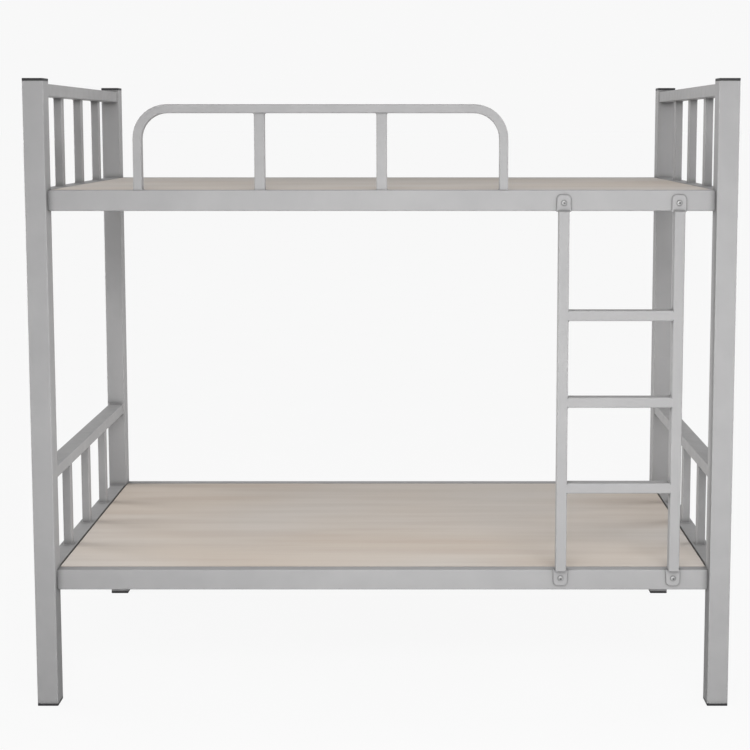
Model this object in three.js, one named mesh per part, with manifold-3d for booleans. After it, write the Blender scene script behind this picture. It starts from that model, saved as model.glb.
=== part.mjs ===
// Steel bunk bed with a bolted-on ladder, in millimetres.
// X runs along the bed, Y from the ladder side to the back, and Z up from the floor.
// The frame is welded and hooked together from rectangular tube, and the two bed boards lie loose in it.

import * as THREE from "three";
import { mergeVertices } from "three/addons/utils/BufferGeometryUtils.js";
import Module from "manifold-3d";

const wasm = await Module();
wasm.setup();

// Driving dimensions of the whole bed.
const BED_LENGTH = 2000;
const BED_WIDTH = 900;
const BED_HEIGHT = 1809;
const LOWER_DECK_TOP = 398;
const UPPER_DECK_TOP = 1496;
const LOWER_HEAD_TOP = 692;
const UPPER_HEAD_TOP = 1795;
const WELD_GAP = 0.3;

// Tubes: sizes along X, Y and Z as they stand in the bed.
const TUBE_WALL = 1.5;
const TUBE_CORNER = 3;
const BORE_CHAMFER = 1;
const CORNER_STEPS = 2;
const POST = { x: 60, y: 50 };
const SIDE_RAIL = { y: 30, z: 59 };
const CROSS_RAIL = { x: 50, z: 35 };
const END_BAR = { x: 25, y: 25 };
const SLAT = { x: 30, z: 20 };
const GUARD_TUBE = 25;
const GUARD_BAR = { x: 30, y: 20 };
const LADDER_TUBE = 30;

// Plastic caps in the ends of the posts.
const CAP_THICKNESS = 7.5;
const CAP_EDGE = 1.5;
const SPIGOT_LENGTH = 22;
const SPIGOT_WALL = 3;

// Places that follow from the driving dimensions.
const POST_X = (BED_LENGTH - POST.x) / 2;
const POST_Y = (BED_WIDTH - POST.y) / 2;
const POST_INNER_X = BED_LENGTH / 2 - POST.x;
const POST_INNER_Y = BED_WIDTH / 2 - POST.y;
const RAIL_RECESS = 20;
const FRONT_RAIL_Y = -BED_WIDTH / 2 + RAIL_RECESS + SIDE_RAIL.y / 2;
const BACK_RAIL_Y = BED_WIDTH / 2 - SIDE_RAIL.y / 2;
const FRONT_RAIL_INSIDE = FRONT_RAIL_Y + SIDE_RAIL.y / 2;
const BACK_RAIL_INSIDE = BACK_RAIL_Y - SIDE_RAIL.y / 2;
const CROSS_RAIL_X = POST_X;

// Hook joint between a side rail and a post.
const HOOK_PLATE = 4;
const PLATE_VENT_RADIUS = 6;
const HOOK_THICKNESS = 4;
const HOOK_NECK = 10;
const HOOK_DROP = 7;
const HOOK_REACH = 8;
const HOOK_CHAMFER = 2;
const HOOK_WALL_CLEARANCE = 0.4;
const HOOK_HEIGHTS = [10, 38];
const SLOT_SIDE_CLEARANCE = 0.5;
const SLOT_HEAD_CLEARANCE = 1;
const SLOT_HEIGHT = HOOK_NECK + HOOK_DROP + SLOT_HEAD_CLEARANCE;
const SLOT_CUT_DEPTH = 4 * TUBE_WALL;

// Bars of each end panel.
const BARS_PER_PANEL = 3;

// Boards and the slats under them.
const BOARD_THICKNESS = 15;
const BOARD_CLEARANCE = 1;
const SLATS_PER_DECK = 3;
const SLAT_PITCH = 550;

// Guard rail, on the upper front rail.
const GUARD_TOP = 1737;
const GUARD_BEND = 85;
const GUARD_BEND_STEPS = 9;
const GUARD_BARS = 2;
const GUARD_PITCH = 344;
const GUARD_LAST_LEG = GUARD_PITCH;
const GUARD_FIRST_LEG = GUARD_LAST_LEG - (GUARD_BARS + 1) * GUARD_PITCH;

// Ladder, bolted to the front of both front rails by flattened tube ends.
const LADDER_X = 676;
const LADDER_WIDTH = 355;
const STILE_OFFSET = (LADDER_WIDTH - LADDER_TUBE) / 2;
const STILE_RAIL_CLEARANCE = 2;
const RUNGS = 3;
const RUNG_PITCH = 249;
const TOP_RUNG_HEIGHT = 1141;
const TAB_WIDTH = 42;
const TAB_THICKNESS = 5;
const TAB_RIM = 4;
const TAB_REACH = 47;
const TAB_CORNER = 14;
const LADDER_Y = FRONT_RAIL_Y - (SIDE_RAIL.y + TAB_THICKNESS) / 2;
const SHOULDER_RISE = 6;
const DRAIN_RADIUS = 3;
const DRAIN_FROM_END = 25;

// Ladder fasteners.
const HEXAGON_CORNERS = 6;
const BOLT_RADIUS = 4;
const BOLT_CHAMFER = 1;
const BOLT_HOLE_RADIUS = 4.5;
const BOLT_FROM_RAIL_EDGE = 23;
const BOLT_HEAD_RADIUS = 8;
const BOLT_HEAD_HEIGHT = 4.5;
const BOLT_HEAD_RIM = 1;
const BOLT_DOME_STEPS = 5;
const BOLT_SOCKET_RADIUS = 3.4;
const BOLT_SOCKET_DEPTH = 2.8;
const BOLT_TAIL = 3;
const NUT_HEIGHT = 6.5;
const NUT_RADIUS = 7.5;
const ROUND_STEPS = 24;

const PAINT = new THREE.MeshStandardMaterial({ color: 0xc4c4c4, roughness: 0.45, metalness: 0.1 });
const PLASTIC = new THREE.MeshStandardMaterial({ color: 0x1c1c1c, roughness: 0.6, metalness: 0 });
const STEEL = new THREE.MeshStandardMaterial({ color: 0xa9a9a9, roughness: 0.35, metalness: 0.9 });
const WOOD = new THREE.MeshStandardMaterial({ color: 0xbdb2a8, roughness: 0.7, metalness: 0 });

const bed = new THREE.Group();

function addPiece(name, geometry, material, x, y, z) {
  const mesh = new THREE.Mesh(geometry, material);
  mesh.name = name;
  mesh.position.set(x, y, z);
  bed.add(mesh);
  return mesh;
}

// A closed geometry as a solid that can be cut and joined.
function toSolid(geometry) {
  const bare = geometry.clone();
  bare.deleteAttribute("normal");
  bare.deleteAttribute("uv");
  const merged = mergeVertices(bare.index ? bare.toNonIndexed() : bare, 1e-4);
  return new wasm.Manifold(new wasm.Mesh({
    numProp: 3,
    vertProperties: new Float32Array(merged.attributes.position.array),
    triVerts: new Uint32Array(merged.index.array),
  }));
}

function toGeometry(solid) {
  const mesh = solid.getMesh();
  const geometry = new THREE.BufferGeometry();
  geometry.setAttribute("position", new THREE.BufferAttribute(mesh.vertProperties, 3));
  geometry.setIndex(new THREE.BufferAttribute(mesh.triVerts, 1));
  geometry.computeVertexNormals();
  return geometry;
}

// The outline of a rounded rectangle about the origin.
function roundedOutline(path, width, height, corner) {
  const x = width / 2 - corner;
  const y = height / 2 - corner;
  const quarter = Math.PI / 2;
  path.absarc(x, y, corner, 0, quarter);
  path.absarc(-x, y, corner, quarter, 2 * quarter);
  path.absarc(-x, -y, corner, 2 * quarter, 3 * quarter);
  path.absarc(x, -y, corner, 3 * quarter, 4 * quarter);
  return path;
}

function chamferedOutline(width, height, chamfer) {
  const x = width / 2;
  const y = height / 2;
  const corners = [
    new THREE.Vector2(x, y - chamfer),
    new THREE.Vector2(x - chamfer, y),
    new THREE.Vector2(chamfer - x, y),
    new THREE.Vector2(-x, y - chamfer),
    new THREE.Vector2(-x, chamfer - y),
    new THREE.Vector2(chamfer - x, -y),
    new THREE.Vector2(x - chamfer, -y),
    new THREE.Vector2(x, chamfer - y),
  ];
  return new THREE.Path(corners);
}

// The section of a rectangular tube: rounded outside and chamfered in its bore.
function tubeSection(width, height, wall) {
  const section = roundedOutline(new THREE.Shape(), width, height, TUBE_CORNER);
  section.holes.push(chamferedOutline(width - 2 * wall, height - 2 * wall, BORE_CHAMFER));
  return section;
}

// A straight open-ended tube, centred on the origin and running along Z.
function uprightTube(width, depth, length, wall = TUBE_WALL) {
  const geometry = new THREE.ExtrudeGeometry(tubeSection(width, depth, wall), {
    depth: length,
    bevelEnabled: false,
    curveSegments: CORNER_STEPS,
  });
  return geometry.translate(0, 0, -length / 2);
}

// The same tube running along X, with its depth along Y and its height along Z.
function lengthwiseTube(length, depth, height) {
  return uprightTube(height, depth, length).rotateY(Math.PI / 2);
}

// The same tube running along Y, with its width along X and its height along Z.
function crosswiseTube(width, length, height) {
  return uprightTube(width, height, length).rotateX(Math.PI / 2);
}

function block(width, depth, height, x, y, z) {
  return toSolid(new THREE.BoxGeometry(width, depth, height).translate(x, y, z));
}

// A round bar along Y, for drilling.
function drill(radius, length, x, y, z) {
  return toSolid(new THREE.CylinderGeometry(radius, radius, length, ROUND_STEPS).translate(x, y, z));
}

// A post with the hook slots in its inner face, which looks along `inward` on X.
function postGeometry(inward, railOffset, bottom, top) {
  let post = toSolid(uprightTube(POST.x, POST.y, top - bottom).translate(0, 0, (top + bottom) / 2));
  for (const deckTop of [LOWER_DECK_TOP, UPPER_DECK_TOP]) {
    for (const height of HOOK_HEIGHTS) {
      const slotBottom = deckTop - SIDE_RAIL.z + height - WELD_GAP;
      const slot = block(
        SLOT_CUT_DEPTH,
        HOOK_THICKNESS + 2 * SLOT_SIDE_CLEARANCE,
        SLOT_HEIGHT,
        inward * (POST.x / 2),
        railOffset,
        slotBottom + SLOT_HEIGHT / 2,
      );
      post = post.subtract(slot);
    }
  }
  return toGeometry(post);
}

// A cap's flange with its hollow spigot above it, resting on Z = 0.
function capGeometry() {
  const flangeOutline = roundedOutline(new THREE.Shape(), POST.x, POST.y, TUBE_CORNER);
  const flange = new THREE.ExtrudeGeometry(flangeOutline, {
    depth: CAP_THICKNESS - CAP_EDGE,
    bevelThickness: CAP_EDGE,
    bevelSize: CAP_EDGE,
    bevelOffset: -CAP_EDGE,
    bevelSegments: 2,
    curveSegments: CORNER_STEPS,
  });
  const below = block(2 * POST.x, 2 * POST.y, CAP_EDGE, 0, 0, CAP_THICKNESS + CAP_EDGE / 2);
  const fitting = 2 * (TUBE_WALL + WELD_GAP);
  const spigotStart = CAP_THICKNESS - SPIGOT_WALL;
  const spigotTop = CAP_THICKNESS + SPIGOT_LENGTH;
  const spigotSize = spigotTop - spigotStart;
  const spigot = uprightTube(POST.x - fitting, POST.y - fitting, spigotSize, SPIGOT_WALL);
  spigot.translate(0, 0, spigotStart + spigotSize / 2);
  const trimmed = toSolid(flange.translate(0, 0, CAP_EDGE)).subtract(below);
  return toGeometry(trimmed.add(toSolid(spigot)));
}

// One hook of a rail end, lying in the XZ plane with its neck starting at the plate's face.
function hookSolid() {
  const wallInside = WELD_GAP + TUBE_WALL + HOOK_WALL_CLEARANCE;
  const outline = new THREE.Shape();
  outline.moveTo(-HOOK_PLATE / 2, 0);
  outline.lineTo(wallInside, 0);
  outline.lineTo(wallInside, -HOOK_DROP);
  outline.lineTo(HOOK_REACH - HOOK_CHAMFER, -HOOK_DROP);
  outline.lineTo(HOOK_REACH, HOOK_CHAMFER - HOOK_DROP);
  outline.lineTo(HOOK_REACH, HOOK_NECK);
  outline.lineTo(-HOOK_PLATE / 2, HOOK_NECK);
  const hook = new THREE.ExtrudeGeometry(outline, { depth: HOOK_THICKNESS, bevelEnabled: false });
  return toSolid(hook.translate(0, 0, -HOOK_THICKNESS / 2).rotateX(Math.PI / 2));
}

// The end plate with its hooks, for the rail's right-hand end. A vent keeps the rail open.
function hookPlateSolid(plateFace) {
  const outline = roundedOutline(new THREE.Shape(), SIDE_RAIL.z, SIDE_RAIL.y, TUBE_CORNER);
  const vent = new THREE.Path().absarc(0, 0, PLATE_VENT_RADIUS, 0, 2 * Math.PI);
  outline.holes.push(vent);
  const plate = new THREE.ExtrudeGeometry(outline, {
    depth: HOOK_PLATE,
    bevelEnabled: false,
    curveSegments: CORNER_STEPS,
  });
  let solid = toSolid(plate.rotateY(Math.PI / 2).translate(plateFace - HOOK_PLATE, 0, 0));
  for (const height of HOOK_HEIGHTS) {
    solid = solid.add(hookSolid().translate(plateFace, 0, height - SIDE_RAIL.z / 2));
  }
  return solid;
}

// A side rail with a hook plate at each end, and the ladder's bolt holes where they are asked for.
function sideRailGeometry(boltHeight) {
  const plateFace = POST_INNER_X - WELD_GAP;
  const plate = hookPlateSolid(plateFace);
  let rail = toSolid(lengthwiseTube(2 * (plateFace - HOOK_PLATE), SIDE_RAIL.y, SIDE_RAIL.z));
  rail = rail.add(plate).add(plate.mirror([1, 0, 0]));
  if (boltHeight !== undefined) {
    for (const side of [-1, 1]) {
      const x = LADDER_X + side * STILE_OFFSET;
      rail = rail.subtract(drill(BOLT_HOLE_RADIUS, 2 * SIDE_RAIL.y, x, 0, boltHeight));
    }
  }
  return toGeometry(rail);
}

// The flattened tube end: a shoulder down from the tube and a round-ended tab, at the ladder's top.
function tabSolid(stileEnd) {
  const railEdge = stileEnd + STILE_RAIL_CLEARANCE;
  const tabBack = TAB_THICKNESS / 2 - WELD_GAP;
  const tabTop = railEdge + TAB_REACH;
  const halfTube = LADDER_TUBE / 2;

  const profile = new THREE.Shape();
  profile.moveTo(-halfTube, stileEnd - TUBE_WALL);
  profile.lineTo(halfTube, stileEnd - TUBE_WALL);
  profile.lineTo(halfTube, stileEnd);
  profile.lineTo(tabBack, railEdge - WELD_GAP);
  profile.lineTo(tabBack, stileEnd + SHOULDER_RISE);
  profile.lineTo(-tabBack, stileEnd + SHOULDER_RISE);
  profile.lineTo(-halfTube, stileEnd);
  const shoulder = new THREE.ExtrudeGeometry(profile, { depth: LADDER_TUBE, bevelEnabled: false });
  shoulder.translate(0, 0, -LADDER_TUBE / 2).rotateY(Math.PI / 2).rotateX(Math.PI / 2);

  const height = tabTop - stileEnd;
  const outline = roundedOutline(new THREE.Shape(), TAB_WIDTH, height + TAB_CORNER, TAB_CORNER);
  const tab = new THREE.ExtrudeGeometry(outline, {
    depth: TAB_THICKNESS,
    bevelThickness: TAB_RIM,
    bevelSize: TAB_RIM,
    bevelOffset: -TAB_RIM,
    bevelSegments: 3,
    curveSegments: 2 * CORNER_STEPS,
  });
  tab.rotateX(Math.PI / 2).translate(0, tabBack + TAB_RIM, tabTop - (height + TAB_CORNER) / 2);
  const behind = block(2 * TAB_WIDTH, LADDER_TUBE, 4 * height, 0, tabBack + LADDER_TUBE / 2, tabTop);
  const below = block(2 * TAB_WIDTH, LADDER_TUBE, height, 0, 0, stileEnd - height / 2);
  return toSolid(tab).subtract(behind).subtract(below).add(toSolid(shoulder));
}

// A ladder stile about its own mid height: a tube with a bolted tab at each end and two drain holes.
function stileGeometry(stileEnd) {
  const tab = tabSolid(stileEnd);
  const boltHeight = stileEnd + STILE_RAIL_CLEARANCE + BOLT_FROM_RAIL_EDGE;
  let stile = toSolid(uprightTube(LADDER_TUBE, LADDER_TUBE, 2 * stileEnd));
  stile = stile.add(tab).add(tab.mirror([0, 0, 1]));
  for (const side of [-1, 1]) {
    const drainHeight = side * (stileEnd - DRAIN_FROM_END);
    stile = stile.subtract(drill(BOLT_HOLE_RADIUS, LADDER_TUBE, 0, 0, side * boltHeight));
    stile = stile.subtract(drill(DRAIN_RADIUS, LADDER_TUBE, 0, LADDER_TUBE / 2, drainHeight));
  }
  return toGeometry(stile);
}

// A button-head bolt along Y, with the underside of its head at the origin and its shank towards +Y.
function boltGeometry(shankLength) {
  const profile = [
    new THREE.Vector2(0, -shankLength),
    new THREE.Vector2(BOLT_RADIUS - BOLT_CHAMFER, -shankLength),
    new THREE.Vector2(BOLT_RADIUS, BOLT_CHAMFER - shankLength),
    new THREE.Vector2(BOLT_RADIUS, 0),
    new THREE.Vector2(BOLT_HEAD_RADIUS, 0),
    new THREE.Vector2(BOLT_HEAD_RADIUS, BOLT_HEAD_RIM),
  ];
  const domeHeight = BOLT_HEAD_HEIGHT - BOLT_HEAD_RIM;
  for (let step = 1; step < BOLT_DOME_STEPS; step += 1) {
    const turn = (step / BOLT_DOME_STEPS) * (Math.PI / 2);
    const rise = BOLT_HEAD_RIM + domeHeight * Math.sin(turn);
    profile.push(new THREE.Vector2(BOLT_HEAD_RADIUS * Math.cos(turn), rise));
  }
  profile.push(new THREE.Vector2(0, BOLT_HEAD_HEIGHT));
  const body = toSolid(new THREE.LatheGeometry(profile, ROUND_STEPS));
  const socket = new THREE.CylinderGeometry(
    BOLT_SOCKET_RADIUS,
    BOLT_SOCKET_RADIUS,
    2 * BOLT_SOCKET_DEPTH,
    HEXAGON_CORNERS,
  );
  const cut = body.subtract(toSolid(socket.translate(0, BOLT_HEAD_HEIGHT, 0)));
  return toGeometry(cut).rotateX(Math.PI);
}

// A hexagon nut about the Y axis, from Y = 0 to its height.
function nutGeometry() {
  const outline = new THREE.Shape();
  outline.moveTo(NUT_RADIUS, 0);
  for (let corner = 1; corner < HEXAGON_CORNERS; corner += 1) {
    const turn = (corner / HEXAGON_CORNERS) * 2 * Math.PI;
    outline.lineTo(NUT_RADIUS * Math.cos(turn), NUT_RADIUS * Math.sin(turn));
  }
  outline.holes.push(new THREE.Path().absarc(0, 0, BOLT_RADIUS + WELD_GAP, 0, 2 * Math.PI));
  const nut = new THREE.ExtrudeGeometry(outline, {
    depth: NUT_HEIGHT,
    bevelEnabled: false,
    curveSegments: ROUND_STEPS,
  });
  return nut.rotateX(-Math.PI / 2);
}

// A path through given stations, each a point and the way that the tube runs there.
class StationPath extends THREE.Curve {
  constructor(stations) {
    super();
    this.stations = stations;
  }

  stationAt(fraction) {
    return this.stations[Math.round(fraction * (this.stations.length - 1))];
  }

  getPointAt(fraction) {
    return this.stationAt(fraction).point.clone();
  }

  getTangentAt(fraction) {
    return this.stationAt(fraction).tangent.clone();
  }
}

// The guard's middle line: up the left leg, round a bend, along the top and down the right leg.
function guardStations(footHeight) {
  const topHeight = GUARD_TOP - GUARD_TUBE / 2;
  const bendHeight = topHeight - GUARD_BEND;
  const stations = [];
  const add = (x, z, turn) => {
    stations.push({
      point: new THREE.Vector3(x, 0, z),
      tangent: new THREE.Vector3(Math.sin(turn), 0, Math.cos(turn)),
    });
  };
  add(GUARD_FIRST_LEG, footHeight, 0);
  for (let step = 0; step <= GUARD_BEND_STEPS; step += 1) {
    const turn = (step / GUARD_BEND_STEPS) * (Math.PI / 2);
    const x = GUARD_FIRST_LEG + GUARD_BEND * (1 - Math.cos(turn));
    add(x, bendHeight + GUARD_BEND * Math.sin(turn), turn);
  }
  for (let step = 0; step <= GUARD_BEND_STEPS; step += 1) {
    const turn = (step / GUARD_BEND_STEPS) * (Math.PI / 2);
    const x = GUARD_LAST_LEG - GUARD_BEND * (1 - Math.sin(turn));
    add(x, bendHeight + GUARD_BEND * Math.cos(turn), Math.PI / 2 + turn);
  }
  add(GUARD_LAST_LEG, footHeight, Math.PI);
  return stations;
}

function guardFrameGeometry(footHeight) {
  const stations = guardStations(footHeight);
  return new THREE.ExtrudeGeometry(tubeSection(GUARD_TUBE, GUARD_TUBE, TUBE_WALL), {
    steps: stations.length - 1,
    extrudePath: new StationPath(stations),
    bevelEnabled: false,
    curveSegments: CORNER_STEPS,
  });
}

const SIDES = [
  { name: "left", sign: -1 },
  { name: "right", sign: 1 },
];
const FACES = [
  { name: "front", sign: -1, railY: FRONT_RAIL_Y },
  { name: "back", sign: 1, railY: BACK_RAIL_Y },
];
const DECKS = [
  { name: "lower", top: LOWER_DECK_TOP, headTop: LOWER_HEAD_TOP },
  { name: "upper", top: UPPER_DECK_TOP, headTop: UPPER_HEAD_TOP },
];

function addPosts() {
  const bottom = CAP_THICKNESS + WELD_GAP;
  const top = BED_HEIGHT - CAP_THICKNESS - WELD_GAP;
  for (const face of FACES) {
    for (const side of SIDES) {
      const corner = `${face.name}_${side.name}`;
      const x = side.sign * POST_X;
      const y = face.sign * POST_Y;
      const geometry = postGeometry(-side.sign, face.railY - y, bottom, top);
      addPiece(`post_${corner}`, geometry, PAINT, x, y, 0);
      addPiece(`foot_cap_${corner}`, capGeometry(), PLASTIC, x, y, 0);
      const topCap = addPiece(`top_cap_${corner}`, capGeometry(), PLASTIC, x, y, BED_HEIGHT);
      topCap.rotation.x = Math.PI;
    }
  }
}

function addSideRails() {
  const fromTop = SIDE_RAIL.z / 2;
  for (const deck of DECKS) {
    const nearEdge = deck.name === "upper" ? -1 : 1;
    const boltHeight = nearEdge * (fromTop - BOLT_FROM_RAIL_EDGE);
    for (const face of FACES) {
      const geometry = sideRailGeometry(face.name === "front" ? boltHeight : undefined);
      addPiece(`${deck.name}_${face.name}_rail`, geometry, PAINT, 0, face.railY, deck.top - fromTop);
    }
  }
}

function addEndPanels() {
  const railLength = 2 * (POST_INNER_Y - WELD_GAP);
  const barPitch = (2 * POST_INNER_Y + END_BAR.y) / (BARS_PER_PANEL + 1);
  for (const deck of DECKS) {
    const barBottom = deck.top + WELD_GAP;
    const barTop = deck.headTop - CROSS_RAIL.z - WELD_GAP;
    for (const side of SIDES) {
      const x = side.sign * CROSS_RAIL_X;
      const panel = `${deck.name}_${side.name}`;
      const rail = crosswiseTube(CROSS_RAIL.x, railLength, CROSS_RAIL.z);
      addPiece(`${panel}_deck_rail`, rail, PAINT, x, 0, deck.top - CROSS_RAIL.z / 2);
      addPiece(`${panel}_head_rail`, rail.clone(), PAINT, x, 0, deck.headTop - CROSS_RAIL.z / 2);
      for (let bar = 1; bar <= BARS_PER_PANEL; bar += 1) {
        const y = (bar - (BARS_PER_PANEL + 1) / 2) * barPitch;
        const tube = uprightTube(END_BAR.x, END_BAR.y, barTop - barBottom);
        addPiece(`${panel}_bar_${bar}`, tube, PAINT, x, y, (barTop + barBottom) / 2);
      }
    }
  }
}

function addDecks() {
  const inside = BACK_RAIL_INSIDE - FRONT_RAIL_INSIDE;
  const middle = (BACK_RAIL_INSIDE + FRONT_RAIL_INSIDE) / 2;
  for (const deck of DECKS) {
    const board = new THREE.BoxGeometry(
      2 * (POST_INNER_X - BOARD_CLEARANCE),
      inside - 2 * BOARD_CLEARANCE,
      BOARD_THICKNESS,
    );
    addPiece(`${deck.name}_board`, board, WOOD, 0, middle, deck.top - BOARD_THICKNESS / 2);
    const slatHeight = deck.top - BOARD_THICKNESS - WELD_GAP - SLAT.z / 2;
    for (let slat = 1; slat <= SLATS_PER_DECK; slat += 1) {
      const x = (slat - (SLATS_PER_DECK + 1) / 2) * SLAT_PITCH;
      const tube = crosswiseTube(SLAT.x, inside - 2 * WELD_GAP, SLAT.z);
      addPiece(`${deck.name}_slat_${slat}`, tube, PAINT, x, middle, slatHeight);
    }
  }
}

function addGuard() {
  const foot = UPPER_DECK_TOP + WELD_GAP;
  addPiece("guard_frame", guardFrameGeometry(foot), PAINT, 0, FRONT_RAIL_Y, 0);
  const barTop = GUARD_TOP - GUARD_TUBE - WELD_GAP;
  for (let bar = 1; bar <= GUARD_BARS; bar += 1) {
    const x = GUARD_FIRST_LEG + bar * GUARD_PITCH;
    const tube = uprightTube(GUARD_BAR.x, GUARD_BAR.y, barTop - foot);
    addPiece(`guard_bar_${bar}`, tube, PAINT, x, FRONT_RAIL_Y, (barTop + foot) / 2);
  }
}

function addLadder() {
  const lowerEdge = LOWER_DECK_TOP;
  const upperEdge = UPPER_DECK_TOP - SIDE_RAIL.z;
  const middle = (lowerEdge + upperEdge) / 2;
  const stileEnd = (upperEdge - lowerEdge) / 2 - STILE_RAIL_CLEARANCE;
  const rungLength = LADDER_WIDTH - 2 * (LADDER_TUBE + WELD_GAP);
  for (const side of SIDES) {
    const x = LADDER_X + side.sign * STILE_OFFSET;
    addPiece(`ladder_stile_${side.name}`, stileGeometry(stileEnd), PAINT, x, LADDER_Y, middle);
  }
  for (let rung = 1; rung <= RUNGS; rung += 1) {
    const tube = lengthwiseTube(rungLength, LADDER_TUBE, LADDER_TUBE);
    const height = TOP_RUNG_HEIGHT - (RUNGS - rung) * RUNG_PITCH;
    addPiece(`ladder_rung_${rung}`, tube, PAINT, LADDER_X, LADDER_Y, height);
  }
}

function addLadderFasteners() {
  const headSeat = LADDER_Y - TAB_THICKNESS / 2 - WELD_GAP;
  const nutSeat = FRONT_RAIL_INSIDE + WELD_GAP;
  const shankLength = nutSeat + NUT_HEIGHT + BOLT_TAIL - headSeat;
  const heights = {
    lower: LOWER_DECK_TOP - BOLT_FROM_RAIL_EDGE,
    upper: UPPER_DECK_TOP - SIDE_RAIL.z + BOLT_FROM_RAIL_EDGE,
  };
  for (const deck of DECKS) {
    for (const side of SIDES) {
      const x = LADDER_X + side.sign * STILE_OFFSET;
      const place = `${deck.name}_${side.name}`;
      addPiece(`ladder_bolt_${place}`, boltGeometry(shankLength), STEEL, x, headSeat, heights[deck.name]);
      addPiece(`ladder_nut_${place}`, nutGeometry(), STEEL, x, nutSeat + NUT_HEIGHT, heights[deck.name]);
    }
  }
}

addPosts();
addSideRails();
addEndPanels();
addDecks();
addGuard();
addLadder();
addLadderFasteners();

export default bed;
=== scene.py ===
"""Looks of a steel bunk bed with a ladder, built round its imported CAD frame, in metres."""

import math

import bmesh
import bpy
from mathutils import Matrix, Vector


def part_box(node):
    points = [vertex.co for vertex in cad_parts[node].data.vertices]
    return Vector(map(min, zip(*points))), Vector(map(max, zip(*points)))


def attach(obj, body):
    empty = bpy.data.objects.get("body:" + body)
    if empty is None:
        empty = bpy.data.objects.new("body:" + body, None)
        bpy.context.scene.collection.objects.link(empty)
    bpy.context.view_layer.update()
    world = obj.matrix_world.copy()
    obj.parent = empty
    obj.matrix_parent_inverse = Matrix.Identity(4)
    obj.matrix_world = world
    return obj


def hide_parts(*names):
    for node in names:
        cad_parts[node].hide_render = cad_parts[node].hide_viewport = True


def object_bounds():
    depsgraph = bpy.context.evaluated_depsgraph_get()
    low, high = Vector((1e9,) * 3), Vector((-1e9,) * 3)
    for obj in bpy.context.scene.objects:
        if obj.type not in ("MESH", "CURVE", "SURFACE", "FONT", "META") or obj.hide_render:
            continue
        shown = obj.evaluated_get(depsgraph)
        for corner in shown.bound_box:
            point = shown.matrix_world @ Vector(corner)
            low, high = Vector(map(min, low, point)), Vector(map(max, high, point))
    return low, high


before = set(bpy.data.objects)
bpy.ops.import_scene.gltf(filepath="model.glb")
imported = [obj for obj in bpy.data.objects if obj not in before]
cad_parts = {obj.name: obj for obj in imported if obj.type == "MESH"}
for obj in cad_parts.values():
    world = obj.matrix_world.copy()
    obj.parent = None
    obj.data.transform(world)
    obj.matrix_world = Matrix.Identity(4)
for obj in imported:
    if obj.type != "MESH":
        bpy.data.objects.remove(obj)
cad_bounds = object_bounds()

X_AXIS = Vector((1, 0, 0))
Y_AXIS = Vector((0, 1, 0))
Z_AXIS = Vector((0, 0, 1))

# The frame's repeated pieces.
DECKS = ("lower", "upper")
PANELS = [f"{deck}_{side}" for deck in DECKS for side in ("left", "right")]
BARS_PER_PANEL = 3
SLATS_PER_DECK = 3
RUNGS = 3
GUARD_BARS = 2

# Tube corners and the fillet welds round tube ends.
TUBE_CORNER = 0.003
CORNER_FACETS = 4
WELD_SIZE = 0.0022
WELD_PITCH = 0.003
WELD_RIPPLE = 0.14
STEPS_PER_RIPPLE = 3
WELD_SINK = 0.0004
WELD_BULGE = 0.62
WELD_TOE = 0.92
WELD_TOE_RISE = 0.25
SIDEWAYS = 0.01

# Welds ground nearly flush.
GROUND_WELD_REACH = TUBE_CORNER + 0.0003
GROUND_WELD_RISE = 0.0002
GROUND_WELD_EDGE = 0.1 * GROUND_WELD_RISE
GROUND_WELD_SECTION = [
    (-GROUND_WELD_REACH, -WELD_SINK),
    (-GROUND_WELD_REACH, GROUND_WELD_EDGE),
    (-GROUND_WELD_REACH / 2, GROUND_WELD_RISE),
    (GROUND_WELD_REACH / 2, GROUND_WELD_RISE),
    (GROUND_WELD_REACH, GROUND_WELD_EDGE),
    (GROUND_WELD_REACH, -WELD_SINK),
]

# The boards.
BOARD_ARRIS = 0.0012
ARRIS_STEPS = 3
PLIES = 5

# Smoothing.
SMOOTH_BELOW = math.radians(40)
CAD_SMOOTH_BELOW = math.radians(35)
SAME_PLACE = 0.00001

# Colours, in linear light.
PAINT_DARKER = (0.232, 0.230, 0.232, 1)
PAINT_LIGHTER = (0.251, 0.249, 0.250, 1)
PAINT_FLECK = (0.184, 0.184, 0.184, 1)
# Lighter edges: partly a thin rubbed coat, partly a painted highlight.
PAINT_WEAR_AND_HIGHLIGHT = (0.31, 0.31, 0.31, 1)
# The dark of the painted shade in the paint's joints, at bar feet and round the tabs.
PAINT_CREVICE_SHADE = (0.05, 0.05, 0.05, 1)
PLASTIC_DARKER = (0.010, 0.010, 0.011, 1)
PLASTIC_LIGHTER = (0.017, 0.017, 0.018, 1)
PLASTIC_SCUFF = (0.06, 0.06, 0.06, 1)
ZINC_DARKER = (0.24, 0.24, 0.245, 1)
ZINC_LIGHTER = (0.34, 0.34, 0.335, 1)
# The dark of the painted shade in the bolts' hollows.
ZINC_HOLLOW_SHADE = (0.02, 0.02, 0.02, 1)
WARM_WOOD_DARKER = (0.388, 0.334, 0.288, 1)
WARM_WOOD_LIGHTER = (0.420, 0.370, 0.324, 1)
GREY_WOOD_DARKER = (0.404, 0.376, 0.352, 1)
GREY_WOOD_LIGHTER = (0.436, 0.410, 0.386, 1)
WOOD_GRAIN = (0.32, 0.265, 0.215, 1)
WOOD_FINE_LINES = (0.58, 0.53, 0.48, 1)
WOOD_DARK_STREAKS = (0.28, 0.23, 0.185, 1)
PALE_PLY = (0.46, 0.37, 0.29, 1)
DARK_PLY = (0.27, 0.20, 0.15, 1)
OPEN_FIBRE = (0.56, 0.47, 0.38, 1)
WHITE = (1, 1, 1, 1)

# The mask nodes' samples, and how far a wave texture turns in one unit at scale 1, in radians.
EDGE_SAMPLES = 4
CREVICE_SAMPLES = 8
WAVE_TURN = 20

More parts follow.
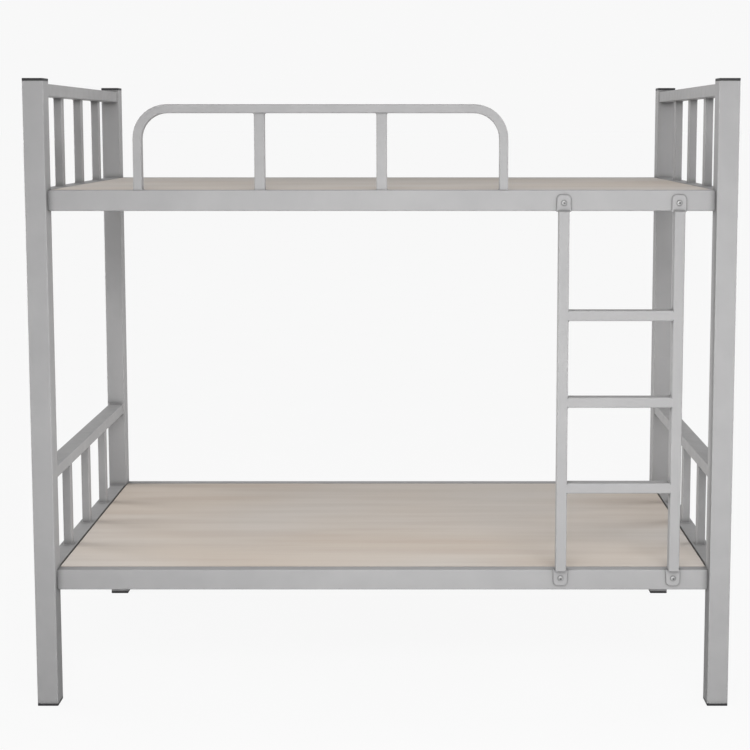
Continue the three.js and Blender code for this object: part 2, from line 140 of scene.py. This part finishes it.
# The studio's floor and walls; the angles are elevations in degrees.
BACKGROUND = 0.94
FLOOR_GLOW = 0.915
FLOOR_RADIUS = 400
FLOOR_SIDES = 64
CEILING = 0.60
CEILING_STARTS = 15
CEILING_FULL = 45
GROUND = 0.10
GROUND_FULL = -6
GROUND_ENDS = -2

# The lights: two strips in front, each with its height and power, and a fill at each side.
STRIPS = {"low_strip": (0.35, 30), "high_strip": (2.25, 33)}
STRIP_SIZE = (3.0, 0.6)
STRIP_DISTANCE = 2.0
STRIP_TO_THE_RIGHT = 0.30
STRIP_SPREAD = 130
LEFT_FILL_POWER = 42
RIGHT_FILL_POWER = 33
FILL_SIZE = (1.4, 1.6)
FILL_DISTANCE = 2.2
FILL_HEIGHT = 1.5
FILL_BACK = 0.25
FILL_AIM = 1.9
FILL_SPREAD = 90

# The camera.
SENSOR_WIDTH = 36
LENS = 57.88
CAMERA_SHIFT = (-0.0548, -0.20)
CAMERA_TO_THE_RIGHT = 0.097
CAMERA_DISTANCE = 3.822
CAMERA_HEIGHT = 1.671
CAMERA_LOOKS_DOWN = 4.61


# Node trees.

def set_socket(tree, socket, value):
    """Link a socket to another one, or give it a value of its own."""
    if isinstance(value, bpy.types.NodeSocket):
        tree.links.new(value, socket)
    else:
        socket.default_value = value


def add_node(tree, kind, inputs=None, **settings):
    """A new node with its settings made and its inputs set or linked."""
    node = tree.nodes.new(kind)
    for name, value in settings.items():
        setattr(node, name, value)
    for name, value in (inputs or {}).items():
        set_socket(tree, node.inputs[name], value)
    return node


def place_in_frame(tree, stretch):
    """The place on the object, stretched so that a pattern is finer along some axes."""
    place = add_node(tree, "ShaderNodeTexCoord").outputs["Object"]
    scaled = add_node(tree, "ShaderNodeVectorMath", operation="MULTIPLY")
    for socket, value in zip(scaled.inputs, (place, stretch)):
        set_socket(tree, socket, value)
    return scaled.outputs[0]


def noise(tree, stretch, detail=2, roughness=0.5):
    """A noise with its own number of features in a metre along each axis."""
    inputs = {
        "Vector": place_in_frame(tree, stretch),
        "Scale": 1,
        "Detail": detail,
        "Roughness": roughness,
    }
    return add_node(tree, "ShaderNodeTexNoise", inputs).outputs["Fac"]


def even_noise(tree, per_metre, detail=2):
    return noise(tree, (per_metre, per_metre, per_metre), detail)


def wood_noise(tree, along, across, detail=2, roughness=0.5):
    """A noise drawn out along the bed, with its features in a metre along and across the grain."""
    return noise(tree, (along, across, across), detail, roughness)


def span(tree, value, low=0.0, high=1.0, from_low=0.3, from_high=0.7):
    """A value rescaled so that most of a noise's swing runs from low to high."""
    inputs = {
        "Value": value,
        "From Min": from_low,
        "From Max": from_high,
        "To Min": low,
        "To Max": high,
    }
    return add_node(tree, "ShaderNodeMapRange", inputs).outputs["Result"]


def mix_colour(tree, amount, first, second):
    """A mix of two colours: all of the first one at 0 and all of the second one at 1."""
    node = add_node(tree, "ShaderNodeMix", data_type="RGBA")
    sockets = {socket.identifier: socket for socket in node.inputs}
    set_socket(tree, sockets["Factor_Float"], amount)
    set_socket(tree, sockets["A_Color"], first)
    set_socket(tree, sockets["B_Color"], second)
    return next(socket for socket in node.outputs if socket.identifier == "Result_Color")


def multiply(tree, first, second):
    node = add_node(tree, "ShaderNodeMath", operation="MULTIPLY")
    for socket, value in zip(node.inputs, (first, second)):
        set_socket(tree, socket, value)
    return node.outputs[0]


def tinted(tree, base, tint, mask, strength):
    """The base colour drawn towards a tint where the mask is high."""
    return mix_colour(tree, multiply(tree, mask, strength), base, tint)


def edge_mask(tree, radius):
    """1 along outside edges and 0 on flat faces, from how far a rounded normal turns."""
    rounded = add_node(tree, "ShaderNodeBevel", {"Radius": radius}, samples=EDGE_SAMPLES).outputs[0]
    plain = add_node(tree, "ShaderNodeNewGeometry").outputs["Normal"]
    facing = add_node(tree, "ShaderNodeVectorMath", operation="DOT_PRODUCT")
    for socket, value in zip(facing.inputs, (rounded, plain)):
        set_socket(tree, socket, value)
    return span(tree, facing.outputs["Value"], low=1.0, high=0.0, from_low=0.86, from_high=0.995)


def crevice_mask(tree, reach):
    """1 deep in a joint and 0 on open faces, where less of the surroundings is near."""
    inputs = {"Distance": reach}
    nearby = add_node(tree, "ShaderNodeAmbientOcclusion", inputs, samples=CREVICE_SAMPLES)
    return span(tree, nearby.outputs["AO"], low=1.0, high=0.0, from_low=0.35, from_high=0.95)


def new_material(name):
    material = bpy.data.materials.new(name)
    material.use_nodes = True
    return material, material.node_tree, material.node_tree.nodes["Principled BSDF"]


def set_shader(tree, shader, **values):
    """Set or link the shader's sockets, named in lower case with underscores for spaces."""
    sockets = {socket.name.lower().replace(" ", "_"): socket for socket in shader.inputs}
    for name, value in values.items():
        set_socket(tree, sockets[name], value)


def bump(tree, height, strength, distance):
    inputs = {"Height": height, "Strength": strength, "Distance": distance}
    return add_node(tree, "ShaderNodeBump", inputs).outputs["Normal"]


# Materials.

def paint_material():
    """Satin light grey powder coat: fine orange peel, lighter along its edges as a thin rubbed coat and a
    painted highlight, and darkened in its joints by painted shade.
    """
    material, tree, shader = new_material("powder_coat")
    cloud = span(tree, even_noise(tree, per_metre=9, detail=3))
    body = mix_colour(tree, cloud, PAINT_DARKER, PAINT_LIGHTER)
    speckle = span(tree, even_noise(tree, per_metre=900, detail=1))
    flecked = tinted(tree, body, PAINT_FLECK, speckle, strength=0.10)
    patches = even_noise(tree, per_metre=60, detail=4)
    # Patchy lightening along edges: partly rubbed wear, partly a painted highlight.
    wear_and_highlight_patches = span(tree, patches, low=0.15, from_low=0.4, from_high=0.65)
    edges = multiply(tree, edge_mask(tree, radius=0.003), wear_and_highlight_patches)
    lit = tinted(tree, flecked, PAINT_WEAR_AND_HIGHLIGHT, edges, strength=0.35)
    # Painted shade: the colour darkens in joints, at bar feet and round tabs, wherever other surfaces are
    # near.
    colour = tinted(tree, lit, PAINT_CREVICE_SHADE, crevice_mask(tree, reach=0.022), strength=0.85)
    rough = span(tree, even_noise(tree, per_metre=35, detail=3), low=0.50, high=0.62)
    peel = even_noise(tree, per_metre=420)
    set_shader(
        tree,
        shader,
        base_color=colour,
        roughness=rough,
        specular_ior_level=0.2,
        normal=bump(tree, peel, strength=0.25, distance=0.0004),
    )
    return material


def plastic_material():
    """Black moulded plastic with a fine grain and dull scuffs along its edges."""
    material, tree, shader = new_material("black_plastic")
    cloud = span(tree, even_noise(tree, per_metre=40, detail=3))
    body = mix_colour(tree, cloud, PLASTIC_DARKER, PLASTIC_LIGHTER)
    patches = even_noise(tree, per_metre=120, detail=5)
    scuffs = span(tree, patches, from_low=0.45, from_high=0.7)
    edges = multiply(tree, edge_mask(tree, radius=0.0015), scuffs)
    grain = even_noise(tree, per_metre=1400)
    set_shader(
        tree,
        shader,
        base_color=tinted(tree, body, PLASTIC_SCUFF, edges, strength=0.6),
        roughness=span(tree, even_noise(tree, per_metre=60), low=0.46, high=0.62),
        specular_ior_level=0.25,
        normal=bump(tree, grain, strength=0.3, distance=0.0003),
    )
    return material


def steel_material():
    """Dull zinc plating, a little clouded, with painted shade darkening its hollows."""
    material, tree, shader = new_material("zinc_steel")
    cloud = span(tree, even_noise(tree, per_metre=240, detail=4))
    bright = mix_colour(tree, cloud, ZINC_DARKER, ZINC_LIGHTER)
    # Painted shade: the colour darkens in the bolts' hollows, such as the socket.
    shaded_hollows = crevice_mask(tree, reach=0.006)
    lines = noise(tree, stretch=(1500, 1500, 300))
    set_shader(
        tree,
        shader,
        base_color=tinted(tree, bright, ZINC_HOLLOW_SHADE, shaded_hollows, strength=0.9),
        roughness=span(tree, even_noise(tree, per_metre=500, detail=3), low=0.52, high=0.66),
        metallic=1.0,
        normal=bump(tree, lines, strength=0.2, distance=0.0002),
    )
    return material


def board_face_material():
    """Pale plank faces with long fine grain along the bed."""
    material, tree, shader = new_material("board_face")
    planks = wood_noise(tree, along=1.1, across=17, detail=3)
    bands = span(tree, planks, from_low=0.40, from_high=0.60)
    drift = wood_noise(tree, along=0.9, across=2.2)
    wander = span(tree, drift, from_low=0.38, from_high=0.62)
    warm = mix_colour(tree, bands, WARM_WOOD_DARKER, WARM_WOOD_LIGHTER)
    grey = mix_colour(tree, bands, GREY_WOOD_DARKER, GREY_WOOD_LIGHTER)
    pale = mix_colour(tree, wander, warm, grey)
    grain = span(tree, wood_noise(tree, along=1.6, across=95, detail=5, roughness=0.6))
    streaked = tinted(tree, pale, WOOD_GRAIN, grain, strength=0.12)
    fine = span(tree, wood_noise(tree, along=9, across=520, detail=3))
    lined = tinted(tree, streaked, WOOD_FINE_LINES, fine, strength=0.10)
    streaks = wood_noise(tree, along=0.9, across=34, detail=3)
    dark = span(tree, streaks, from_low=0.60, from_high=0.74)
    set_shader(
        tree,
        shader,
        base_color=tinted(tree, lined, WOOD_DARK_STREAKS, dark, strength=0.10),
        roughness=span(tree, fine, low=0.70, high=0.84, from_low=0.0, from_high=1.0),
        specular_ior_level=0.2,
        normal=bump(tree, grain, strength=0.22, distance=0.0004),
    )
    return material


def board_edge_material(thickness):
    """The board's cut edges: light and dark plies in turn, with open fibre."""
    material, tree, shader = new_material("board_edge")
    inputs = {
        "Vector": place_in_frame(tree, (1, 1, 1)),
        "Scale": PLIES * math.pi / thickness / WAVE_TURN,
        "Distortion": 0.6,
        "Detail": 2,
    }
    bands = {"wave_type": "BANDS", "bands_direction": "Z"}
    wave = add_node(tree, "ShaderNodeTexWave", inputs, **bands).outputs["Fac"]
    layers = mix_colour(tree, wave, PALE_PLY, DARK_PLY)
    fibre = span(tree, noise(tree, stretch=(140, 140, 900), detail=4))
    set_shader(
        tree,
        shader,
        base_color=tinted(tree, layers, OPEN_FIBRE, fibre, strength=0.35),
        roughness=0.75,
        normal=bump(tree, fibre, strength=0.4, distance=0.0006),
    )
    return material


def floor_material():
    """A pale studio floor, lit a little from within so that shadows on it stay faint."""
    material, tree, shader = new_material("studio_floor")
    dust = span(tree, even_noise(tree, per_metre=3, detail=3), low=0.034, high=0.038)
    tint = add_node(tree, "ShaderNodeCombineColor", {"Red": dust, "Green": dust, "Blue": dust})
    set_shader(
        tree,
        shader,
        base_color=tint.outputs[0],
        roughness=1.0,
        specular_ior_level=0.0,
        emission_color=WHITE,
        emission_strength=FLOOR_GLOW,
    )
    return material


# Mesh pieces.

def make_piece(name, bm, materials, body):
    """A mesh object from bmesh data, smooth over its soft edges, riding on a CAD body."""
    bmesh.ops.recalc_face_normals(bm, faces=bm.faces)
    mesh = bpy.data.meshes.new(name)
    bm.to_mesh(mesh)
    bm.free()
    mesh.polygons.foreach_set("use_smooth", [True] * len(mesh.polygons))
    mesh.set_sharp_from_angle(angle=SMOOTH_BELOW)
    for material in materials:
        mesh.materials.append(material)
    piece = bpy.data.objects.new(name, mesh)
    bpy.context.scene.collection.objects.link(piece)
    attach(piece, body)
    return piece


def make_welds(name, bm, paint):
    make_piece(name, bm, [paint], "frame")


def tube_outline(width, depth):
    """Points round a tube's outside, each with the way out from it, about the tube's centre."""
    points = []
    corners = [(1, 1, 0), (-1, 1, 1), (-1, -1, 2), (1, -1, 3)]
    for sign_x, sign_y, quarter in corners:
        centre = Vector((
            sign_x * (width / 2 - TUBE_CORNER),
            sign_y * (depth / 2 - TUBE_CORNER),
        ))
        for facet in range(CORNER_FACETS + 1):
            turn = (quarter + facet / CORNER_FACETS) * math.pi / 2
            way_out = Vector((math.cos(turn), math.sin(turn)))
            points.append((centre + TUBE_CORNER * way_out, way_out))
    return points


def evenly_spaced(points, closed):
    """The same line with a point at every fraction of a weld ripple."""
    following = points[1:] + points[:1] if closed else points[1:]
    step = WELD_PITCH / STEPS_PER_RIPPLE
    spaced = []
    for (start, start_out), (end, end_out) in zip(points, following):
        count = max(1, round((end - start).length / step))
        for index in range(count):
            share = index / count
            way_out = start_out.lerp(end_out, share).normalized()
            spaced.append((start.lerp(end, share), way_out))
    if not closed:
        spaced.append(points[-1])
    return spaced


def weld_section(size):
    """A weld's section: out along the face it lies on, and up the tube, slightly bulged."""
    sink = -WELD_SINK
    bulge = WELD_BULGE * size
    toe = WELD_TOE * size
    toe_rise = WELD_TOE_RISE * size
    return [(sink, sink), (size, sink), (toe, toe_rise), (bulge, bulge), (toe_rise, toe), (sink, size)]


def join_rings(bm, ring, following):
    """Faces all round between two rings of as many points."""
    for index, vertex in enumerate(ring):
        after = (index + 1) % len(ring)
        bm.faces.new((vertex, ring[after], following[after], following[index]))


def close_ends(bm, first, last):
    bm.faces.new(first)
    bm.faces.new(reversed(last))


def add_weld(bm, centre, across, along, up, points, closed=True):
    """A rippled fillet weld along a line in the plane of `across` and `along`, rising `up`."""
    rings = []
    for index, (place, way_out) in enumerate(evenly_spaced(points, closed)):
        phase = (index % STEPS_PER_RIPPLE) / STEPS_PER_RIPPLE
        size = WELD_SIZE * (1 + WELD_RIPPLE * (math.sin(math.pi * phase) - 0.5))
        base = centre + across * place.x + along * place.y
        outward = across * way_out.x + along * way_out.y
        rings.append([bm.verts.new(base + outward * u + up * v) for u, v in weld_section(size)])
    for ring, following in zip(rings, rings[1:]):
        join_rings(bm, ring, following)
    if closed:
        join_rings(bm, rings[-1], rings[0])
    else:
        close_ends(bm, rings[0], rings[-1])


def add_ground_weld(bm, seam, outward, half_height):
    """A weld ground nearly flush: a low flat ridge up a seam between two level faces."""
    rings = []
    for height in (-half_height, half_height):
        base = seam + Z_AXIS * height
        rings.append([bm.verts.new(base + X_AXIS * u + outward * v) for u, v in GROUND_WELD_SECTION])
    low_ring, high_ring = rings
    close_ends(bm, low_ring, high_ring)
    join_rings(bm, low_ring, high_ring)


def weld_upright(bm, low, high, at_top):
    """The weld round the top or the foot of an upright tube with these corners."""
    centre = (low + high) / 2
    centre.z = high.z if at_top else low.z
    up = -Z_AXIS if at_top else Z_AXIS
    add_weld(bm, centre, X_AXIS, Y_AXIS, up, tube_outline(high.x - low.x, high.y - low.y))


def weld_crosswise(bm, low, high, at_back):
    """The weld round the back or the front end of a tube that runs across the bed."""
    centre = (low + high) / 2
    centre.y = high.y if at_back else low.y
    up = -Y_AXIS if at_back else Y_AXIS
    add_weld(bm, centre, X_AXIS, Z_AXIS, up, tube_outline(high.x - low.x, high.z - low.z))


def add_panel_welds(paint):
    """Each end panel: its bars to its rails, and its rails to the posts."""
    for panel in PANELS:
        bm = bmesh.new()
        for bar in range(1, BARS_PER_PANEL + 1):
            low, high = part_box(f"{panel}_bar_{bar}")
            weld_upright(bm, low, high, at_top=False)
            weld_upright(bm, low, high, at_top=True)
        for rail in ("deck", "head"):
            low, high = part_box(f"{panel}_{rail}_rail")
            weld_crosswise(bm, low, high, at_back=False)
            weld_crosswise(bm, low, high, at_back=True)
        make_welds(f"{panel}_panel_welds", bm, paint)


def add_guard_welds(paint):
    """The guard's two legs and its bars, on the upper front rail and under the bent tube."""
    bm = bmesh.new()
    low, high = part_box("guard_frame")
    tube = high.y - low.y
    for leg_start in (low.x, high.x - tube):
        leg_low = Vector((leg_start, low.y, low.z))
        leg_high = Vector((leg_start + tube, high.y, high.z))
        weld_upright(bm, leg_low, leg_high, at_top=False)
    for bar in range(1, GUARD_BARS + 1):
        bar_low, bar_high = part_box(f"guard_bar_{bar}")
        weld_upright(bm, bar_low, bar_high, at_top=False)
        weld_upright(bm, bar_low, bar_high, at_top=True)
    make_welds("guard_welds", bm, paint)


def add_rung_welds(paint):
    """Straight welds over and under each rung's ends, ground nearly flush front and back."""
    bm = bmesh.new()
    for rung in range(1, RUNGS + 1):
        low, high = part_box(f"ladder_rung_{rung}")
        middle = (low + high) / 2
        half_run = (high.y - low.y) / 2 - TUBE_CORNER
        half_height = (high.z - low.z) / 2
        for end_x, inward in ((low.x, X_AXIS), (high.x, -X_AXIS)):
            centre = Vector((end_x, middle.y, middle.z))
            for side in (1, -1):
                way_out = Vector((0, side))
                ends = [Vector((reach, side * half_height)) for reach in (-half_run, half_run)]
                line = [(end, way_out) for end in ends]
                add_weld(bm, centre, Y_AXIS, Z_AXIS, inward, line, closed=False)
                seam = centre + Y_AXIS * side * (high.y - low.y) / 2
                add_ground_weld(bm, seam, Y_AXIS * side, half_height - TUBE_CORNER)
    make_welds("ladder_rung_welds", bm, paint)


def sides_and_underside(outline):
    """The part of a tube's outline down its left side, under it and up its right side."""
    kept = [
        (place, way_out)
        for place, way_out in outline
        if way_out.y < -SIDEWAYS or abs(way_out.x) > 1 - SIDEWAYS
    ]
    left = sorted((point for point in kept if point[0].x < 0), key=lambda point: -point[0].y)
    right = sorted((point for point in kept if point[0].x > 0), key=lambda point: point[0].y)
    return left + right


def add_slat_welds(paint):
    """Welds down both sides and underneath each slat's ends, clear of the board above."""
    for deck in DECKS:
        bm = bmesh.new()
        for slat in range(1, SLATS_PER_DECK + 1):
            low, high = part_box(f"{deck}_slat_{slat}")
            line = sides_and_underside(tube_outline(high.x - low.x, high.z - low.z))
            for end_y, inward in ((low.y, Y_AXIS), (high.y, -Y_AXIS)):
                centre = (low + high) / 2
                centre.y = end_y
                add_weld(bm, centre, X_AXIS, Z_AXIS, inward, line, closed=False)
        make_welds(f"{deck}_slat_welds", bm, paint)


def add_board(deck, face, edge):
    """A loose bed board with softened arrises, its faces and its cut edges apart."""
    low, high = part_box(f"{deck}_board")
    bm = bmesh.new()
    bmesh.ops.create_cube(bm, size=1)
    bmesh.ops.scale(bm, vec=high - low, verts=bm.verts)
    bmesh.ops.translate(bm, vec=(low + high) / 2, verts=bm.verts)
    bmesh.ops.bevel(
        bm,
        geom=bm.edges[:],
        offset=BOARD_ARRIS,
        segments=ARRIS_STEPS,
        profile=0.5,
        affect="EDGES",
    )
    for polygon in bm.faces:
        polygon.normal_update()
        looks_up_or_down = abs(polygon.normal.z) > 0.5
        polygon.material_index = 0 if looks_up_or_down else 1
    piece = make_piece(f"{deck}_bed_board", bm, [face, edge], f"{deck}_deck_board")
    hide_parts(f"{deck}_board")


# The CAD nodes that stay.

def smooth_corner_modifier():
    """Node group that joins a CAD mesh's triangles and smooths over its rounded corners."""
    group = bpy.data.node_groups.new("smooth_corners", "GeometryNodeTree")
    group.interface.new_socket("Geometry", in_out="INPUT", socket_type="NodeSocketGeometry")
    group.interface.new_socket("Geometry", in_out="OUTPUT", socket_type="NodeSocketGeometry")
    source = group.nodes.new("NodeGroupInput").outputs[0]
    bare_inputs = {"Geometry": source, "Name": "custom_normal"}
    bare = add_node(group, "GeometryNodeRemoveAttribute", bare_inputs)
    merge_inputs = {"Geometry": bare.outputs[0], "Distance": SAME_PLACE}
    merged = add_node(group, "GeometryNodeMergeByDistance", merge_inputs)
    smooth_inputs = {"Geometry": merged.outputs[0], "Shade Smooth": True}
    smooth = add_node(group, "GeometryNodeSetShadeSmooth", smooth_inputs, domain="FACE")
    angle = add_node(group, "GeometryNodeInputMeshEdgeAngle").outputs["Unsigned Angle"]
    soft_inputs = {"A": angle, "B": CAD_SMOOTH_BELOW}
    soft = add_node(group, "FunctionNodeCompare", soft_inputs, data_type="FLOAT", operation="LESS_THAN")
    sharp_inputs = {"Geometry": smooth.outputs[0], "Shade Smooth": soft.outputs["Result"]}
    sharp = add_node(group, "GeometryNodeSetShadeSmooth", sharp_inputs, domain="EDGE")
    output = group.nodes.new("NodeGroupOutput")
    group.links.new(sharp.outputs[0], output.inputs[0])
    return group


def finish_cad_nodes(materials):
    """Gives each CAD node its looks, by the material slot that the record names."""
    group = smooth_corner_modifier()
    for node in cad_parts.values():
        slot_name = node.material_slots[0].material.name
        node.material_slots[0].link = "OBJECT"
        node.material_slots[0].material = materials[slot_name]
        corners = node.modifiers.new("smooth_corners", "NODES")
        corners.node_group = group
        weighted = node.modifiers.new("flat_faces", "WEIGHTED_NORMAL")
        weighted.keep_sharp = True


# The studio.

def add_floor():
    bm = bmesh.new()
    bmesh.ops.create_circle(bm, cap_ends=True, segments=FLOOR_SIDES, radius=FLOOR_RADIUS)
    mesh = bpy.data.meshes.new("studio_floor")
    bm.to_mesh(mesh)
    bm.free()
    mesh.materials.append(floor_material())
    floor = bpy.data.objects.new("studio_floor", mesh)
    floor.location.z = cad_bounds[0].z
    floor.visible_diffuse = False
    bpy.context.scene.collection.objects.link(floor)


def fade_by_height(tree, height, start, end, low, high):
    """A light level that goes from low to high between two elevations, in degrees."""
    inputs = {
        "Value": height,
        "From Min": math.sin(math.radians(start)),
        "From Max": math.sin(math.radians(end)),
        "To Min": low,
        "To Max": high,
    }
    node = add_node(tree, "ShaderNodeMapRange", inputs, interpolation_type="SMOOTHSTEP")
    return node.outputs["Result"]


def set_world():
    """Pale walls all round between a dim ceiling and a dim ground."""
    world = bpy.data.worlds.new("studio")
    world.use_nodes = True
    bpy.context.scene.world = world
    tree = world.node_tree
    way = add_node(tree, "ShaderNodeTexCoord").outputs["Generated"]
    height = add_node(tree, "ShaderNodeSeparateXYZ", {"Vector": way}).outputs["Z"]
    above = fade_by_height(tree, height, CEILING_STARTS, CEILING_FULL, 1.0, CEILING)
    below = fade_by_height(tree, height, GROUND_FULL, GROUND_ENDS, GROUND, 1.0)
    level = multiply(tree, multiply(tree, above, below), BACKGROUND)
    background = tree.nodes["Background"]
    set_socket(tree, background.inputs["Color"], level)
    set_socket(tree, background.inputs["Strength"], 1.0)


def add_soft_light(name, place, size, aim, spread, power):
    """A rectangular soft light that no camera sees, turned towards a point."""
    data = bpy.data.lights.new(name, "AREA")
    data.shape = "RECTANGLE"
    data.size, data.size_y = size
    data.spread = math.radians(spread)
    data.energy = power
    light = bpy.data.objects.new(name, data)
    light.location = place
    light.rotation_euler = (Vector(aim) - light.location).to_track_quat("-Z", "Y").to_euler()
    light.visible_camera = False
    bpy.context.scene.collection.objects.link(light)


def add_lights():
    """A low and a high strip in front, a little to the right, and a fill at each side."""
    low, high = cad_bounds
    mid_height = (low.z + high.z) / 2
    for name, (height, power) in STRIPS.items():
        place = (STRIP_TO_THE_RIGHT, low.y - STRIP_DISTANCE, height)
        aim = (STRIP_TO_THE_RIGHT, 0, mid_height)
        add_soft_light(name, place, STRIP_SIZE, aim, STRIP_SPREAD, power)
    fills = {
        "left_fill": (low.x - FILL_DISTANCE, LEFT_FILL_POWER),
        "right_fill": (high.x + FILL_DISTANCE, RIGHT_FILL_POWER),
    }
    for name, (side, power) in fills.items():
        place = (side, FILL_BACK, FILL_HEIGHT)
        add_soft_light(name, place, FILL_SIZE, (0, 0, FILL_AIM), FILL_SPREAD, power)


def add_camera():
    """Put the camera at the photograph's viewing angle.

    The photograph keeps its uprights parallel. Doing all of that with the shift would cut the top off the
    bed in the other views, so the camera also looks down a little.
    """
    data = bpy.data.cameras.new("camera")
    data.sensor_width = SENSOR_WIDTH
    data.lens = LENS
    data.shift_x, data.shift_y = CAMERA_SHIFT
    camera = bpy.data.objects.new("camera", data)
    camera.location = (CAMERA_TO_THE_RIGHT, -CAMERA_DISTANCE, CAMERA_HEIGHT)
    camera.rotation_euler = (math.radians(90 - CAMERA_LOOKS_DOWN), 0, 0)
    bpy.context.scene.collection.objects.link(camera)
    bpy.context.scene.camera = camera


def set_display():
    view = bpy.context.scene.view_settings
    view.view_transform = "Standard"
    view.look = "None"
    view.exposure = 0
    view.gamma = 1


def build():
    paint = paint_material()
    face = board_face_material()
    low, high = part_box("lower_board")
    edge = board_edge_material(high.z - low.z)
    finish_cad_nodes({
        "frame_paint": paint,
        "cap_plastic": plastic_material(),
        "fastener_steel": steel_material(),
        "board_wood": face,
    })
    for deck in DECKS:
        add_board(deck, face, edge)
    add_panel_welds(paint)
    add_guard_welds(paint)
    add_rung_welds(paint)
    add_slat_welds(paint)
    add_floor()
    set_world()
    add_lights()
    add_camera()
    set_display()


build()
